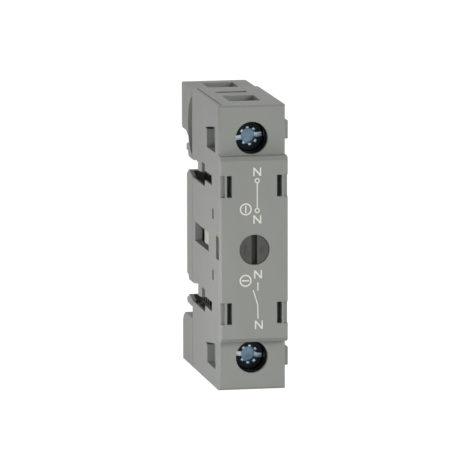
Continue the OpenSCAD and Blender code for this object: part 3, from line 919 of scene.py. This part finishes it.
@dataclass
class Construction:
    """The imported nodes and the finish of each."""

    nodes: dict[str, bpy.types.Object]
    finishes: dict[str, object] = field(default_factory=lambda: {
        "front_shell": HOUSING_GREY, "side_cover": COVER_GREY, "rear_base": BASE_GREY,
        "position_rotor": ROTOR_DARK, "rotor_retainer": RETAINER_PALE, "contact_carrier": CARRIER_CREAM,
        "follower_pin": PIN_STEEL, "contact_bridge": BARE_COPPER, "contact_spring": SPRING_WIRE,
        "rail_clip": CLIP_GREY, "rail_clip_spring": SPRING_WIRE,
    })
    paired: dict[str, object] = field(default_factory=lambda: {
        "moving_tip": CONTACT_SILVER, "fixed_tip": CONTACT_SILVER, "terminal_bar": BARE_COPPER,
        "terminal_frame": FRAME_PAINTED_SHADE, "terminal_screw": SCREW_BODY, "pressure_plate": TERMINAL_ZINC,
        "arc_plates": ARC_STEEL, "arc_chute": CHUTE_FIBRE,
    })

    def dress(self) -> None:
        """Give every node its finish."""
        chosen = dict(self.finishes)
        for end in End:
            for name, finish in self.paired.items():
                chosen[f"{end.value}_{name}"] = finish
        for name, piece in self.nodes.items():
            piece.data.materials.clear()
            piece.data.materials.append(chosen[name].material())
            LOG.info("dressed %s", name)


@dataclass
class Studio:
    """The pale floor, the world and the soft lamps."""

    horizon: float = 0.7
    zenith: float = 0.22
    top: float = 0.9
    floor_side: float = 12.0

    def lamp(self, name: str, spot: Vector, target: Vector, side: float, power: float) -> None:
        """Add a square soft lamp.

        Args:
            name: Name of the lamp.
            spot: Its place.
            target: The point it faces.
            side: Length of its side.
            power: Its power in watts.
        """
        light = bpy.data.lights.new(name, "AREA")
        light.size = side
        light.energy = power
        holder = bpy.data.objects.new(name, light)
        holder.location = spot
        holder.visible_camera = False
        holder.rotation_euler = (target - spot).to_track_quat("-Z", "Y").to_euler()
        bpy.context.scene.collection.objects.link(holder)

    def build(self) -> None:
        """Build floor, world and lamps."""
        mesh = bmesh.new()
        half = self.floor_side / 2
        corners = [(-half, -half), (half, -half), (half, half), (-half, half)]
        mesh.faces.new([mesh.verts.new((x, y, 0)) for x, y in corners])
        floor = Shapes.made("floor", mesh, Backdrop().material())
        graph = WorldGraph("soft_room")
        place = graph.node("ShaderNodeTexCoord")
        height = graph.node("ShaderNodeSeparateXYZ")
        graph.link(place.outputs["Generated"], height.inputs["Vector"])
        fade = graph.node(
            "ShaderNodeMapRange", From_Min=0.0, From_Max=self.top, To_Min=self.horizon, To_Max=self.zenith,
        )
        graph.link(height.outputs["Z"], fade.inputs["Value"])
        level = graph.node("ShaderNodeMapRange", To_Max=1.0)
        graph.link(direct_rays(graph), level.inputs["Value"])
        graph.link(fade.outputs["Result"], level.inputs["To Min"])
        sky = graph.node("ShaderNodeBackground", Color=(1, 1, 1, 1))
        graph.link(level.outputs["Result"], sky.inputs["Strength"])
        output = graph.node("ShaderNodeOutputWorld")
        graph.link(sky.outputs[0], output.inputs["Surface"])
        centre = Vector((0, 0, 0.037))
        self.lamp("key_softbox", Vector((0.75, -1.1, 0.5)), centre, 0.6, 7.4)
        self.lamp("fill_softbox", Vector((-1.2, -0.5, 0.25)), centre, 0.7, 0.4)
        self.lamp("low_card", Vector((-0.09, -0.05, 0.008)), Vector((-0.009, -0.01, 0.004)), 0.05, 0.055)
        bpy.context.scene.view_settings.view_transform = "Standard"


@dataclass
class PhotoCamera:
    """The camera at the photograph's viewpoint."""

    spot: Vector = field(default_factory=lambda: Vector((-0.32563, -1.66391, 0.30333)))
    target: Vector = field(default_factory=lambda: Vector((0.00047, 0.0012, 0.03647)))
    roll: float = -0.074
    focal_pixels: float = 6584.0
    sensor: float = 36.0

    def build(self) -> None:
        """Make the camera and hand it to the scene."""
        data = bpy.data.cameras.new("photo_camera")
        data.sensor_width = self.sensor
        data.lens = self.focal_pixels / IMAGE_SIDE * self.sensor
        data.clip_start = 0.01
        data.clip_end = 100
        camera = bpy.data.objects.new("photo_camera", data)
        aim = (self.target - self.spot).to_track_quat("-Z", "Y")
        camera.rotation_mode = "QUATERNION"
        camera.rotation_quaternion = aim @ Matrix.Rotation(math.radians(self.roll), 3, "Z").to_quaternion()
        camera.location = self.spot
        bpy.context.scene.collection.objects.link(camera)
        bpy.context.scene.camera = camera


def main() -> None:
    """Load the frame, dress it and add the pieces, the studio and the camera."""
    logging.basicConfig(level=logging.INFO, format="%(message)s")
    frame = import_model()
    PhotoCamera().build()
    Studio().build()
    Construction(frame["nodes"]).dress()
    winder = WoundWire()
    pieces = [Nose().build(), PositionRotor().build()]
    pieces += TerminalScrew(End.UPPER, 65.5 * MM, -8).build(winder)
    pieces += TerminalScrew(End.LOWER, 8.5 * MM, 6).build(winder)
    contact_spring = Spring(
        "contact_spring", Body.CARRIER, Vector((0, 0, 37 * MM)), "Y",
        radius=1.75 * MM, length=3.1 * MM, turns=4,
    )
    clip_spring = Spring(
        "rail_clip_spring", Body.HOUSING, Vector((0, 22.1 * MM, 5.4 * MM)), "Z",
        radius=0.75 * MM, length=6.15 * MM, turns=5, pressed_by="clip_slide",
    )
    pieces += [contact_spring.build(winder), clip_spring.build(winder)]
    for piece in pieces:
        LOG.info("built %s with %d faces", piece.name, len(piece.data.polygons))


if __name__ == "__main__":
    main()
